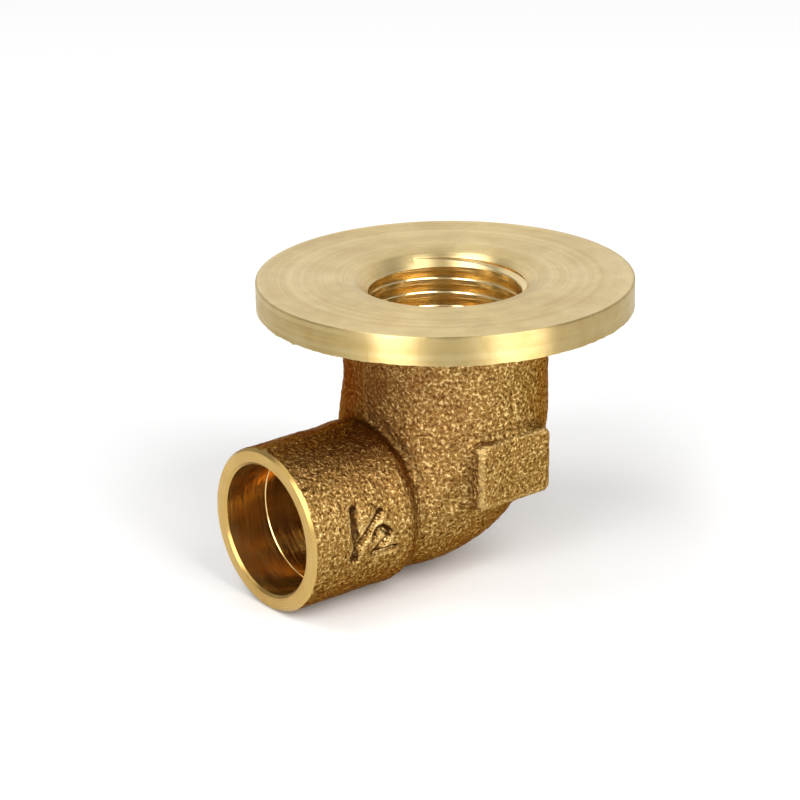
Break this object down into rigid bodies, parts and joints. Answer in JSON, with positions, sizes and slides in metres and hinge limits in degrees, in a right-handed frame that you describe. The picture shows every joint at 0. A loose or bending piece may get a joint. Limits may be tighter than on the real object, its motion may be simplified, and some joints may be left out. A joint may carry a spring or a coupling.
{
  "type": "flanged elbow",
  "caption": "Cast bronze right-angle elbow with a round flange round its threaded port, a solder cup and two flat wrench pads.",
  "frame": {"origin": "centre of the flange's face, on the axis of the threaded port", "axes": "+Z out of the threaded port, -X out of the solder cup, +Y to one of the two wrench pads"},
  "size_m": [0.051, 0.046, 0.0359],
  "materials": {
    "cast_bronze": "as sand cast, with the flange, the port and the mouth of the cup turned bright"
  },
  "bodies": {
    "root": {"flanged_elbow": "cast_bronze"}
  },
  "joints": []
}
